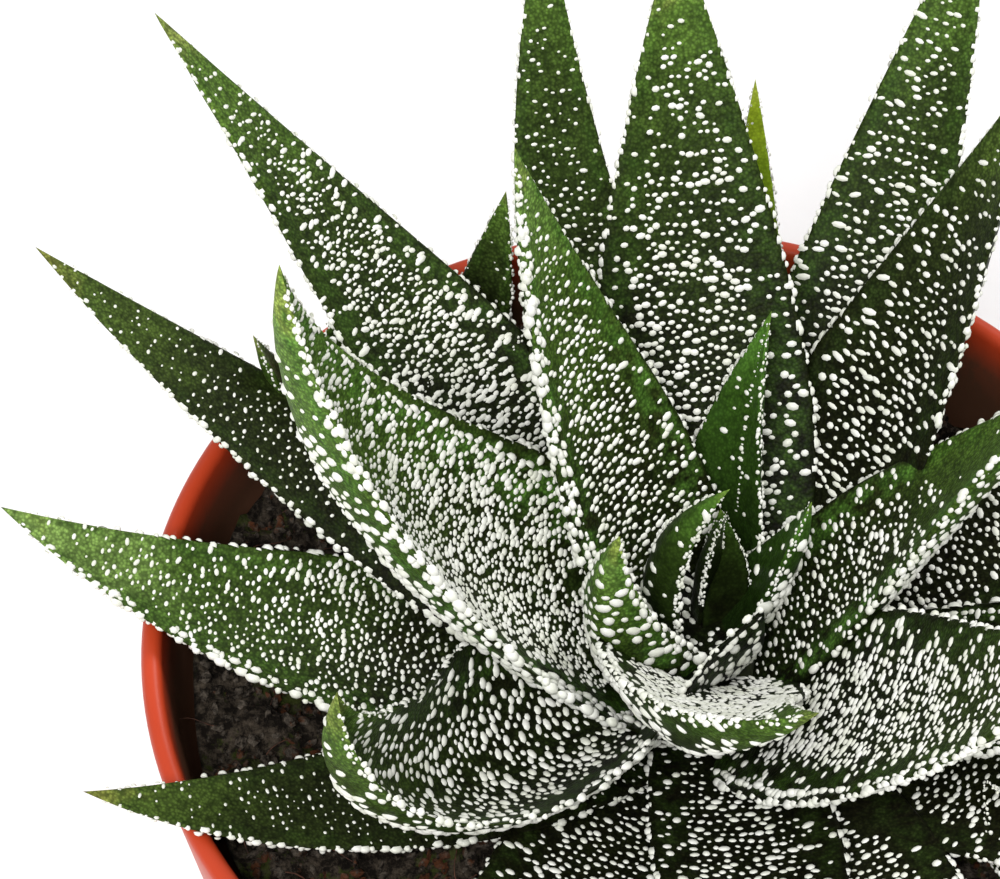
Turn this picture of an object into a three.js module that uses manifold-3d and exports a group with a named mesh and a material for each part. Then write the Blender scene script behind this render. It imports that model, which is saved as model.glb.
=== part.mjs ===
// Potted haworthia: a rosette of studded, tapering leaves on a short stem, with small offsets beside it,
// in soil, in a plain plastic pot. Millimetres and degrees, +Z up. The origin is the centre of the pot's
// underside, +X is the plant's right and -Y its front.

import * as THREE from "three";
import { mergeVertices } from "three/addons/utils/BufferGeometryUtils.js";
import Module from "manifold-3d";

// Driving dimensions of the pot
const potHeight = 80;
const rimRadius = 45;
const footRadius = 31;
const wall = 1.8;
const collarHeight = 13;
const collarFlare = 1.8;
const collarStep = 2.2;
const stepOutside = 0.6;
const stepInside = 1.6;
const footBevel = 1;
const floorBevel = 1.5;
const drainHoles = 6;
const drainRadius = 3;
const drainRing = 20;
const potSides = 36;

// Soil: lumpy on top, with a shallow dip round the stem
const soilHeight = 70;
const soilDip = 5.5;
const dipRadius = 24;
const soilLump = 0.9;
const lumpWaves = [0.5, 0.9, 0.7, -0.4];
const soilShy = 0.9;
const soilRings = [37, 32, 27, 22, 16, 10];
const soilSides = potSides / 2;

// Stem of the rosette, off the middle of the pot as the plant leans: [radius, height] from its foot in the
// soil to the growing point
const stemX = 4.5;
const stemTop = 81;
const stemSides = 12;
const stemProfile = [
  [3.4, 48],
  [4.4, 56],
  [4.4, 66],
  [3.6, 72],
  [2.6, 77],
  [1.2, 80.4],
];

// Clearance between pieces that touch in the real plant, and how much more of it the thin edges need
const gap = 0.3;
const edgeClearance = 4;

// Leaf section, from edge to edge on the upper face and back on the lower one
const sectionUpper = [-1, -0.36, 0.36, 1];
const sectionLower = [0.5, 0, -0.5];
const bellyPower = 1.5;
const usualCup = 0.12;

// Leaf outline along its length, as shares of it: broadest at fullAt, thinning from thinFrom to the tip
const fullAt = 0.3;
const footShare = 0.8;
const taperPower = 1.45;
const thinFrom = 0.15;
const thinPower = 1.3;
const risePower = 1.4;
const swingPower = 1.5;
const rowPitch = 5.8;
const fewestRows = 4;
const leafHeel = 5;
const toothOut = 0.65;
const firstToothedRow = 2;

// Studs: raised warts, wider across the leaf than along it, staggered over both faces
const studWide = 2;
const studLong = 1.1;
const studTall = 0.75;
const studSpread = 0.3;
const studShift = 0.2;
const studSlide = 0.3;
const studCellShare = 0.66;
const studFromUpper = 0.18;
const studFromLower = 0.4;
const studTo = 0.93;

// The leaves, youngest first: [length, width, thickness], the bearing counterclockwise from +X, the rise at
// the foot and at the tip, and the [distance from the stem's axis, height] where the leaf sets out. swing
// bends the tip round, roll and twist turn the blade about its own length, and cup raises its edges. The
// growing point leans a little to the left, so some inner leaves set out from there.
const inner = { x: 2.9, y: -0.4 };
const leaves = [
  leaf([12.5, 2.8, 1.2], 150, [92, 100], [1.8, 83.8]),
  leaf([11, 4.6, 1.4], 102, [74, 80], [0.8, 82]),
  leaf([23, 6.3, 1.8], 185, [76, 134], [2.6, 78.5], {
    ...inner, swing: 1.5, roll: 20, twist: -11, cup: 0.05,
  }),
  leaf([17.7, 8.1, 2.6], 21, [48, 78], [0.3, 79.1], {
    ...inner, heel: 1.5, roll: -14, twist: -25, cup: 0.13,
  }),
  leaf([27.5, 10, 4.6], 209, [54, 103], [3.4, 74.5], { swing: -17, roll: 44, twist: -10, cup: 0.2 }),
  leaf([30.6, 10.7, 3.2], 81, [60, 46.5], [4, 72.7], {
    ...inner, swing: -17, roll: -22, twist: -22, cup: 0.23,
  }),
  leaf([46.7, 17.7, 4], 250.5, [46.5, 53.5], [2.3, 76.1], { swing: 80.5, roll: -3, twist: -24, cup: 0.31 }),
  leaf([53, 15.5, 4], 140, [59, 79], [3, 76], { roll: -7, twist: 26 }),
  leaf([44, 15, 4], 15, [50, 55], [3.2, 75.5], { swing: -14, twist: -41 }),
  leaf([69.5, 21.5, 4.2], 188, [37, 93], [2.5, 74.5], { swing: -11, roll: -20, twist: 32, cup: 0.5 }),
  leaf([61.5, 19.5, 4.2], 96, [44, 55], [3.9, 74], { swing: -1, roll: -3, twist: 6 }),
  leaf([60, 19, 4.2], 307, [45, 66], [3.8, 73], { swing: 8, roll: 26, cup: 0.15 }),
  leaf([52.5, 18.5, 4.4], 220, [-10, 103], [4.2, 80], { swing: -13, roll: 17, twist: -52, cup: 0.9 }),
  leaf([56.5, 18, 4.2], 50, [43, 58], [4.5, 73.5], { swing: 3, roll: -6, twist: -35, cup: 0.2 }),
  leaf([60, 16, 4.2], 274, [14, 40], [4.6, 72]),
  leaf([72, 19.5, 4.2], 135, [26.5, 38.5], [4.9, 71], { swing: 7, roll: -4, twist: 35, cup: 0.05 }),
  leaf([64, 16, 4.2], 346, [24, 34], [5, 71.5]),
  leaf([53.5, 14.5, 4.2], 211, [10, 21], [5.3, 71], { swing: -31, roll: 10, twist: -11, cup: 0.05 }),
  leaf([71, 15, 4.2], 66, [32, 42.5], [5.4, 71], { swing: 5, roll: -5 }),
  leaf([60, 16, 4.2], 294, [15, 31], [5.6, 70.5]),
  leaf([65.5, 16, 4.2], 157, [22, 30], [5.9, 69.5], { swing: -6, roll: 7, twist: 8, cup: 0.02 }),
  leaf([62, 15.5, 4.2], 26, [20, 31], [6, 70]),
  leaf([58, 15.5, 4.2], 241, [14, 26], [6, 70]),
  leaf([68, 13.5, 4.2], 112, [25, 47], [6.3, 69.5], { swing: -23, roll: 11, cup: 0.02 }),
  leaf([59, 17, 4.2], 181, [10, 25], [5.5, 71.5], { swing: -21, roll: -8, cup: 0.2 }),
  leaf([58, 15, 4.2], 326, [17, 34], [6.4, 70]),
];
const youngLeaves = 4;

// Offsets: small plants that rise from the soil between the big leaves
const offsets = [
  { x: -18.6, y: 30, turn: 60, length: 22.5, width: 6.5 },
  { x: -27, y: 24, turn: 190, length: 21.5, width: 7 },
  { x: 9, y: 33, turn: 95, length: 30, width: 5 },
  { x: 30, y: -19.5, turn: 155, length: 12, width: 6 },
];
const offsetLeafCount = 3;
const offsetShrink = 0.12;
const offsetThick = 2;
const offsetRise = [62, 76];
const offsetOut = 0.8;
const offsetHeel = 1;
const offsetStemRadius = 2;
const offsetStemDepth = 8;
const offsetStemAbove = 3;
const offsetStemSides = 8;
const goldenAngle = 137.5;

const degree = Math.PI / 180;
const wasm = await Module();
wasm.setup();

function leaf([length, width, thick], bearing, rise, base, turns = {}) {
  return { x: stemX, y: 0, heel: leafHeel, length, width, thick, bearing, rise, base, ...turns };
}

// A repeatable draw between 0 and 1
function drawFrom(seed) {
  let state = seed * 7919 + 17;
  return () => {
    state = (state * 16807) % 2147483647;
    return state / 2147483647;
  };
}

function solidFrom(geometry) {
  const bare = geometry.clone();
  bare.deleteAttribute("normal");
  bare.deleteAttribute("uv");
  const merged = mergeVertices(bare, 1e-4);
  return new wasm.Manifold(
    new wasm.Mesh({
      numProp: 3,
      vertProperties: new Float32Array(merged.attributes.position.array),
      triVerts: new Uint32Array(merged.index.array),
    }),
  );
}

function geometryFrom(solid) {
  const made = solid.getMesh();
  const places = new Float32Array(made.numVert * 3);
  for (let i = 0; i < made.numVert; i++) {
    const first = i * made.numProp;
    places.set(made.vertProperties.subarray(first, first + 3), i * 3);
  }
  const geometry = new THREE.BufferGeometry();
  geometry.setAttribute("position", new THREE.BufferAttribute(places, 3));
  geometry.setIndex(new THREE.BufferAttribute(made.triVerts, 1));
  geometry.computeVertexNormals();
  return geometry;
}

function largestBody(solid) {
  return solid.decompose().reduce((a, b) => (a.volume() > b.volume() ? a : b));
}

// A profile of [radius, height] points turned about the Z axis
function turned(profile, sides) {
  const points = profile.map(([radius, height]) => new THREE.Vector2(radius, height));
  return new THREE.LatheGeometry(points, sides).rotateX(Math.PI / 2);
}

// An upright cylinder about a point
function upright(radius, height, sides, x, y, z) {
  const cylinder = new THREE.CylinderGeometry(radius, radius, height, sides);
  return solidFrom(cylinder.rotateX(Math.PI / 2).translate(x, y, z));
}

// Pot: a tapering body with a stepped collar, a rounded lip and drain holes round a solid middle
const bodyTop = potHeight - collarHeight;
const collarFoot = rimRadius - collarFlare;
const bodyRadius = collarFoot - collarStep;
const lip = wall / 2;

function makePot() {
  const profile = [
    [0, 0],
    [footRadius - footBevel, 0],
    [footRadius, footBevel],
    [bodyRadius, bodyTop - stepOutside],
    [collarFoot, bodyTop],
    [rimRadius, potHeight - lip],
  ];
  for (const turn of [45, 90, 135]) {
    const radius = rimRadius - lip + lip * Math.cos(turn * degree);
    profile.push([radius, potHeight - lip + lip * Math.sin(turn * degree)]);
  }
  profile.push(
    [rimRadius - wall, potHeight - lip],
    [collarFoot - wall, bodyTop + stepInside / 2],
    [bodyRadius - wall, bodyTop - stepInside],
    [footRadius - wall, wall + floorBevel],
    [footRadius - wall - floorBevel, wall],
    [0, wall],
  );
  let pot = solidFrom(turned(profile, potSides));
  for (let i = 0; i < drainHoles; i++) {
    const angle = (i * 360 * degree) / drainHoles;
    const [x, y] = [drainRing * Math.cos(angle), drainRing * Math.sin(angle)];
    pot = pot.subtract(upright(drainRadius, 4 * wall, 10, x, y, 0));
  }
  return pot;
}

// Soil: fills the pot to below the rim, with plain holes for the stems and room for the leaves' feet
function soilTop(x, y) {
  const away = Math.min(1, Math.hypot(x - stemX, y) / dipRadius);
  const [ax, ay, bx, by] = lumpWaves;
  const lump = Math.sin(ax * x + ay * y) * Math.cos(bx * x + by * y);
  return soilHeight - soilDip * (1 - away) + soilLump * lump * away;
}

function makeSoil(stems, rooms) {
  const bottom = wall + gap;
  const profile = [
    [0, bottom],
    [footRadius - wall - floorBevel - gap, bottom],
    [footRadius - wall - gap, bottom + floorBevel],
    [bodyRadius - wall - gap, bodyTop - stepInside - gap],
    [collarFoot - wall - soilShy, soilHeight - soilShy],
  ];
  const innerRings = soilRings.map((radius) => [radius, soilHeight]);
  const geometry = turned([...profile, ...innerRings, [0, soilHeight]], soilSides);
  const place = geometry.attributes.position;
  for (let i = 0; i < place.count; i++) {
    if (place.getZ(i) === soilHeight) place.setZ(i, soilTop(place.getX(i), place.getY(i)));
  }
  let soil = solidFrom(geometry);
  for (const { x, y, radius, foot } of stems) {
    const depth = 2 * (soilHeight - foot + gap);
    soil = soil.subtract(upright(radius + gap, depth, stemSides, x, y, soilHeight));
  }
  return rooms.reduce((rest, room) => rest.subtract(room), soil);
}

// Stem: a short core that narrows to the growing point, with its foot in the soil
const stemFoot = stemProfile[0][1];
const stemRadius = Math.max(...stemProfile.map(([radius]) => radius));

function makeStem(grow = 0) {
  const outline = stemProfile.map(([radius, height]) => [radius + grow, height]);
  const profile = [[0, stemFoot - grow], ...outline, [0, stemTop + grow]];
  return solidFrom(turned(profile, stemSides).translate(stemX, 0, 0));
}

// Direction of a leaf's midline, and the level way across it, at a share of its length
function heading({ rise: [foot, tip], bearing, swing = 0 }, share) {
  const along = Math.max(share, 0);
  const slope = (foot + (tip - foot) * along ** risePower) * degree;
  const way = (bearing + swing * along ** swingPower) * degree;
  const flat = Math.cos(slope);
  return {
    along: new THREE.Vector3(flat * Math.cos(way), flat * Math.sin(way), Math.sin(slope)),
    across: new THREE.Vector3(-Math.sin(way), Math.cos(way), 0),
  };
}

// Points along a leaf's midline, a millimetre or so apart
function midlineOf(spec) {
  const { x, y, base, bearing, length } = spec;
  const [out, height] = base;
  const [dx, dy] = [out * Math.cos(bearing * degree), out * Math.sin(bearing * degree)];
  const steps = Math.ceil(length);
  const line = [new THREE.Vector3(x + dx, y + dy, height)];
  for (let i = 0; i < steps; i++) {
    const step = heading(spec, (i + 0.5) / steps).along.multiplyScalar(length / steps);
    line.push(line[i].clone().add(step));
  }
  return line;
}

// Place, directions and size of a leaf's section at a share of its length; below 0 is the heel
function stationOf(spec, line, share) {
  const { length, width, thick, roll = 0, twist = 0, cup = usualCup } = spec;
  const { along, across } = heading(spec, share);
  const outward = Math.max(share, 0);
  const at = outward * (line.length - 1);
  const low = Math.min(Math.floor(at), line.length - 2);
  const place = line[low].clone().lerp(line[low + 1], at - low);
  place.addScaledVector(along, Math.min(share, 0) * length);
  const up = along.clone().cross(across);
  const turn = (roll + twist * outward) * degree;
  const swell = footShare + (1 - footShare) * Math.sin((outward / fullAt) * 90 * degree);
  const taper = 1 - Math.max(0, (share - fullAt) / (1 - fullAt)) ** taperPower;
  const thin = 1 - Math.max(0, (share - thinFrom) / (1 - thinFrom)) ** thinPower;
  return {
    place,
    across: across.clone().multiplyScalar(Math.cos(turn)).addScaledVector(up, Math.sin(turn)),
    up: up.clone().multiplyScalar(Math.cos(turn)).addScaledVector(across, -Math.sin(turn)),
    half: (width / 2) * (share < fullAt ? swell : taper),
    thick: thick * thin,
    cup,
  };
}

// Height of the section over its middle: c runs from -1 at one edge to 1 at the other, side is 1 for the
// upper face and -1 for the lower one
function liftAt({ half, thick, cup }, c, side) {
  const belly = side < 0 ? thick * (1 - Math.abs(c) ** bellyPower) : 0;
  return cup * half * c * c - belly;
}

// The way an edge points: halfway between the slopes of the two faces that meet there
function edgeDirection(station, c) {
  const { across, up, half } = station;
  const slopeFrom = (beside, side) => {
    const climb = liftAt(station, 1, side) - liftAt(station, beside, side);
    return climb / ((1 - beside) * half);
  };
  const slope = (slopeFrom(sectionUpper[2], 1) + slopeFrom(sectionLower[0], -1)) / 2;
  return up.clone().multiplyScalar(slope).addScaledVector(across, c).normalize();
}

// A point of the section, moved out by a clearance
function sectionPoint(station, c, side, grow = 0) {
  const { place, across, up, half } = station;
  const point = place.clone().addScaledVector(across, c * half);
  point.addScaledVector(up, liftAt(station, c, side));
  if (Math.abs(c) === 1) {
    return point.addScaledVector(edgeDirection(station, c), edgeClearance * grow);
  }
  return point.addScaledVector(across, c * grow).addScaledVector(up, side * grow);
}

// Faces of a cell of the blade, whose four edges are lists of vertices that run round it
function plainCell(edges) {
  const outline = edges.flatMap((edge) => edge.slice(0, -1));
  return outline.slice(2).map((vertex, i) => [outline[0], outline[i + 1], vertex]);
}

// The same cell with a stud on it: foot has a vertex that faces each edge, and peak is the stud's top
function studdedCell(edges, foot, peak) {
  return edges.flatMap((edge, i) => {
    const next = foot[(i + 1) % 4];
    const skirt = edge.slice(1).map((vertex, j) => [edge[j], vertex, foot[i]]);
    return [...skirt, [edge[edge.length - 1], next, foot[i]], [foot[i], next, peak]];
  });
}

// Foot and peak of a stud on the cell between two places of the section's ring
function studPoints(spec, line, share, from, to, side, draw, grow) {
  const c = (from + to) / 2 + (to - from) * (draw() - 0.5) * studShift;
  const middle = share + ((draw() - 0.5) * studSlide * rowPitch) / spec.length;
  const size = 1 + studSpread * (draw() - 0.5);
  const { half } = stationOf(spec, line, middle);
  const cellRoom = (studCellShare * half * Math.abs(to - from)) / 2;
  const wide = (Math.sign(to - from) * (Math.min(studWide * size, cellRoom) + grow)) / half;
  const long = (studLong * size + grow) / spec.length;
  const at = (place, across) => sectionPoint(stationOf(spec, line, place), across, side, grow);
  const foot = [at(middle, c - wide), at(middle + long, c), at(middle, c + wide), at(middle - long, c)];
  const [near, left, far, right] = foot;
  const normal = left.clone().sub(right).cross(far.clone().sub(near)).normalize();
  return { foot, peak: at(middle, c).addScaledVector(normal, studTall) };
}

// Leaf blade: sections joined from the heel to the point, with a tooth on each edge and a stud on every
// second cell. Grown by a clearance, it is the room that its neighbours have to leave it.
function makeBlade(spec, grow = 0) {
  const line = midlineOf(spec);
  const draw = drawFrom(spec.bearing);
  const rows = Math.max(fewestRows, Math.round(spec.length / rowPitch));
  const ring = [...sectionUpper.map((c) => [c, 1]), ...sectionLower.map((c) => [c, -1])];
  const sides = ring.length;
  const rightEdge = sectionUpper.length - 1;
  const shares = [-spec.heel / spec.length];
  for (let i = 0; i < rows; i++) shares.push(i / rows);
  const stations = shares.map((share) => stationOf(spec, line, share));
  const points = stations.flatMap((station) =>
    ring.map(([c, side]) => sectionPoint(station, c, side, grow)),
  );
  const faces = [];
  const vertex = (row, column) => row * sides + (column % sides);
  const addPoint = (point) => points.push(point) - 1;

  for (let row = 0; row < rows; row++) {
    const middle = (shares[row] + shares[row + 1]) / 2;
    const station = stationOf(spec, line, middle);
    const toothed = row >= firstToothedRow && !spec.smooth;
    const teeth = {};
    for (const [c, column] of toothed ? [[-1, 0], [1, rightEdge]] : []) {
      const tooth = sectionPoint(station, c, 1, grow);
      teeth[column] = [addPoint(tooth.addScaledVector(edgeDirection(station, c), toothOut))];
    }
    for (let column = 0; column < sides; column++) {
      const next = (column + 1) % sides;
      const edges = [
        [vertex(row, column), ...(teeth[column] ?? []), vertex(row + 1, column)],
        [vertex(row + 1, column), vertex(row + 1, next)],
        [vertex(row + 1, next), ...(teeth[next] ?? []), vertex(row, next)],
        [vertex(row, next), vertex(row, column)],
      ];
      const [[from, side], [to]] = [ring[column], ring[next]];
      const upper = column < rightEdge;
      const inBand = middle > (upper ? studFromUpper : studFromLower) && middle < studTo;
      const besideEdge = !upper && (column === rightEdge || next === 0);
      if (toothed && inBand && !besideEdge && (row + column) % 2 === 0) {
        const { foot, peak } = studPoints(spec, line, middle, from, to, side, draw, grow);
        faces.push(...studdedCell(edges, foot.map(addPoint), addPoint(peak)));
      } else {
        faces.push(...plainCell(edges));
      }
    }
  }

  const tip = addPoint(line[line.length - 1].clone());
  const heel = sectionPoint(stations[0], 0, 1).addScaledVector(stations[0].up, -spec.thick / 2);
  const heelVertex = addPoint(heel);
  for (let column = 0; column < sides; column++) {
    faces.push([vertex(rows, column), tip, vertex(rows, column + 1)]);
    faces.push([heelVertex, vertex(0, column), vertex(0, column + 1)]);
  }
  const geometry = new THREE.BufferGeometry().setFromPoints(points);
  geometry.setIndex(faces.flat());
  return solidFrom(geometry);
}

// Offset: a few small leaves round a stub of stem, all one piece
function makeOffset({ x, y, turn, length, width }) {
  const height = offsetStemDepth + offsetStemAbove;
  const middle = soilHeight - offsetStemDepth + height / 2;
  let offset = upright(offsetStemRadius, height, offsetStemSides, x, y, middle);
  for (let i = 0; i < offsetLeafCount; i++) {
    const size = [length * (1 - offsetShrink * i), width, offsetThick];
    const base = [offsetOut, soilHeight + offsetStemAbove - 1];
    const turns = { x, y, heel: offsetHeel, smooth: true };
    offset = offset.add(makeBlade(leaf(size, turn + i * goldenAngle, offsetRise, base, turns)));
  }
  return offset;
}

// Materials
const leafGreen = new THREE.MeshStandardMaterial({ color: 0x35521f, roughness: 0.5, metalness: 0 });
const youngGreen = new THREE.MeshStandardMaterial({ color: 0x4f7d2c, roughness: 0.5, metalness: 0 });
const terracotta = new THREE.MeshStandardMaterial({ color: 0xd24a28, roughness: 0.45, metalness: 0 });
const soilBrown = new THREE.MeshStandardMaterial({ color: 0x2e2620, roughness: 1, metalness: 0 });
const stemPale = new THREE.MeshStandardMaterial({ color: 0x8f8a5c, roughness: 0.8, metalness: 0 });

// Assembly, from the growing point outwards: each leaf gives way to the younger ones inside it
const plant = new THREE.Group();

function addPiece(name, solid, material) {
  const mesh = new THREE.Mesh(geometryFrom(solid), material);
  mesh.name = name;
  plant.add(mesh);
}

const stemHoles = [
  { x: stemX, y: 0, radius: stemRadius, foot: stemFoot },
  ...offsets.map(({ x, y }) => ({ x, y, radius: offsetStemRadius, foot: soilHeight - offsetStemDepth })),
];
const rooms = leaves.map((spec) => makeBlade(spec, gap));
const stemRoom = makeStem(gap);
addPiece("pot", makePot(), terracotta);
addPiece("soil", makeSoil(stemHoles, rooms), soilBrown);
addPiece("stem", makeStem(), stemPale);

leaves.forEach((spec, i) => {
  const younger = [stemRoom, ...rooms.slice(0, i)];
  const blade = younger.reduce((rest, room) => rest.subtract(room), makeBlade(spec));
  const name = "leaf_" + String(i + 1).padStart(2, "0");
  addPiece(name, largestBody(blade), i < youngLeaves ? youngGreen : leafGreen);
});

offsets.forEach((spec, i) => {
  const clear = rooms.reduce((rest, room) => rest.subtract(room), makeOffset(spec));
  addPiece("offset_" + (i + 1), largestBody(clear), youngGreen);
});

export default plant;
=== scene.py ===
# Potted haworthia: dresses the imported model's leaves, offsets, stem, soil and pot, and lights it like the
# photograph. Blender works in metres here, and the leaf formulas in millimetres.

import math

import bpy
import numpy as np
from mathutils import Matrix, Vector, noise


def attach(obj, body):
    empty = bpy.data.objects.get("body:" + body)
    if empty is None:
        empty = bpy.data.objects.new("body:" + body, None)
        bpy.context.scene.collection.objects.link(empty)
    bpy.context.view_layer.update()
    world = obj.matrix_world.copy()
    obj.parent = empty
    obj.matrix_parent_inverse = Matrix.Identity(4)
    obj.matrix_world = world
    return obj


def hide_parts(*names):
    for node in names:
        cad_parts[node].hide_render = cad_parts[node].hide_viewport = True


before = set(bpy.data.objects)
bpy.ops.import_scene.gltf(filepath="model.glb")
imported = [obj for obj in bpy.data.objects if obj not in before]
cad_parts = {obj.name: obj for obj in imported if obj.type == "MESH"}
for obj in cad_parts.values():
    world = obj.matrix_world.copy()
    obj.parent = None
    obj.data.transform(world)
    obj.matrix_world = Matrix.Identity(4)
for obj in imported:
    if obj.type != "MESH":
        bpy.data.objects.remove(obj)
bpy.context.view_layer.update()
mm = 0.001
print("frame loaded:", len(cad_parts), "nodes")

# Where the stem stands, and how high the soil comes
stemX = 4.5
soilHeight = 70


# Small helpers

def linear(hexColour):
    # sRGB hex to the linear colour that shaders take
    channels = [int(hexColour[i:i + 2], 16) / 255 for i in (1, 3, 5)]
    return [c / 12.92 if c <= 0.04045 else ((c + 0.055) / 1.055) ** 2.4 for c in channels] + [1.0]


def addNode(tree, kind, settings=None, inputs=None):
    # a node with its settings and its inputs, which are values or other nodes' sockets
    node = tree.nodes.new(kind)
    for name, value in (settings or {}).items():
        setattr(node, name, value)
    for name, value in (inputs or {}).items():
        if isinstance(value, bpy.types.NodeSocket):
            tree.links.new(value, node.inputs[name])
        else:
            node.inputs[name].default_value = value
    return node


def addPiece(name, mesh):
    piece = bpy.data.objects.new(name, mesh)
    bpy.context.scene.collection.objects.link(piece)
    return piece


def meshFrom(name, vertices, faces, materials, edges=()):
    # vertices are in millimetres
    mesh = bpy.data.meshes.new(name)
    mesh.from_pydata((np.asarray(vertices) * mm).tolist(), list(edges), faces)
    for material in materials:
        mesh.materials.append(material)
    mesh.polygons.foreach_set("use_smooth", [True] * len(mesh.polygons))
    return mesh


def setAttribute(mesh, name, values, kind="FLOAT"):
    attribute = mesh.attributes.new(name, kind, "POINT")
    field = "vector" if kind == "FLOAT_VECTOR" else "value"
    attribute.data.foreach_set(field, np.asarray(values, dtype=np.float32).ravel())


def newTree(name, inputs):
    # a Geometry Nodes tree with a geometry in and out, and named inputs of a kind each
    tree = bpy.data.node_groups.new(name, "GeometryNodeTree")
    tree.interface.new_socket("Geometry", in_out="INPUT", socket_type="NodeSocketGeometry")
    for label, kind in inputs.items():
        tree.interface.new_socket(label, in_out="INPUT", socket_type=kind)
    tree.interface.new_socket("Geometry", in_out="OUTPUT", socket_type="NodeSocketGeometry")
    return tree


def growWith(piece, tree, values):
    # runs a tree on a piece and leaves the result as its plain mesh
    modifier = piece.modifiers.new(tree.name, "NODES")
    modifier.node_group = tree
    for item in tree.interface.items_tree:
        if item.in_out == "INPUT" and item.name in values:
            modifier[item.identifier] = values[item.name]
    depsgraph = bpy.context.evaluated_depsgraph_get()
    grown = piece.evaluated_get(depsgraph)
    mesh = bpy.data.meshes.new_from_object(grown, preserve_all_data_layers=True, depsgraph=depsgraph)
    piece.modifiers.remove(modifier)
    piece.data = mesh
    return mesh


# Materials. Pitches are in millimetres.

def newMaterial(name, finish):
    # finish: the shader's plain inputs. The last thing returned is a point's place on the object.
    material = bpy.data.materials.new(name)
    material.use_nodes = True
    tree = material.node_tree
    shader = tree.nodes["Principled BSDF"]
    for label, value in finish.items():
        shader.inputs[label].default_value = value
    return material, tree, shader, addNode(tree, "ShaderNodeTexCoord").outputs["Object"]


def tintedClouds(tree, place, pitch, detail, roughness, dark, light):
    # a cloudy pattern, and the two colours that it runs between; each has its point in the pattern
    cloud = addNode(tree, "ShaderNodeTexNoise", {}, {
        "Vector": place, "Scale": 1 / (pitch * mm), "Detail": detail, "Roughness": roughness})
    tint = addNode(tree, "ShaderNodeValToRGB", {}, {"Fac": cloud.outputs["Fac"]})
    for element, (at, colour) in zip(tint.color_ramp.elements, (dark, light)):
        element.position, element.color = at, linear(colour)
    return cloud.outputs["Fac"], tint.outputs["Color"]


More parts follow.
